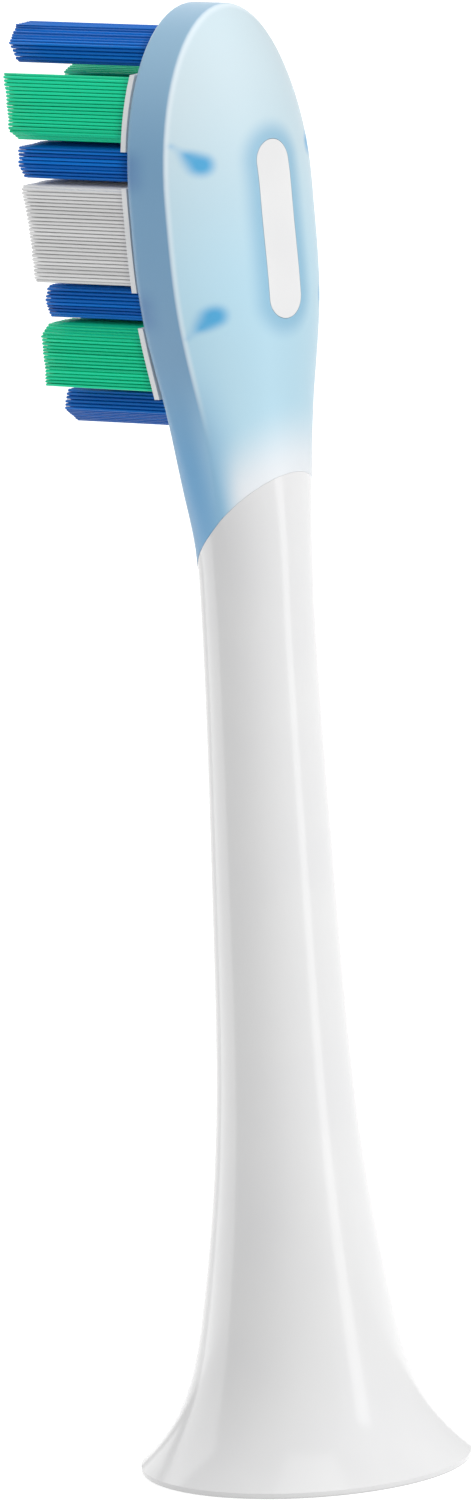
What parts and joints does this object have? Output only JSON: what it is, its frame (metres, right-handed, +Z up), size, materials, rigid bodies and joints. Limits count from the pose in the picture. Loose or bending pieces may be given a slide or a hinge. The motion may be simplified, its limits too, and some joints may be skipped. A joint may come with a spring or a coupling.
{
  "type": "electric toothbrush head",
  "caption": "Click-on brush head for a sonic toothbrush: slim white neck with a flared base, soft blue overmoulded head, and trimmed blue, green and white bristle tufts on a plate.",
  "frame": {"origin": "centre of the base rim, on the plane that the head stands on", "axes": "+Z up the neck towards the toe of the head, -Y the way the bristles point, +X to the right when looking along +Y at the bristle tips"},
  "size_m": [0.017, 0.0231, 0.0761],
  "materials": {
    "neck_plastic": "glossy white moulded plastic",
    "soft_blue": "frosted, translucent pale blue soft plastic",
    "plate_plastic": "satin white moulded plastic",
    "bristle_blue": "dyed nylon filament",
    "bristle_green": "dyed nylon filament",
    "bristle_white": "natural white nylon filament",
    "socket_plastic": "plain hard plastic",
    "spring_steel": "bare spring steel"
  },
  "bodies": {
    "root": {"neck_core": "neck_plastic", "head_overmould": "soft_blue", "tuft_plate": "plate_plastic", "drive_socket": "socket_plastic", "shaft_spring": "spring_steel", "toe_tuft": "bristle_blue", "heel_tuft": "bristle_blue", "centre_upper_tuft": "bristle_blue", "centre_middle_tuft": "bristle_blue", "centre_lower_tuft": "bristle_blue", "white_tuft_right": "bristle_white", "white_tuft_left": "bristle_white", "upper_blue_tuft_right": "bristle_blue", "upper_blue_tuft_left": "bristle_blue", "lower_blue_tuft_right": "bristle_blue", "lower_blue_tuft_left": "bristle_blue", "upper_green_tuft_right": "bristle_green", "upper_green_tuft_left": "bristle_green", "lower_green_tuft_right": "bristle_green", "lower_green_tuft_left": "bristle_green"}
  },
  "joints": []
}
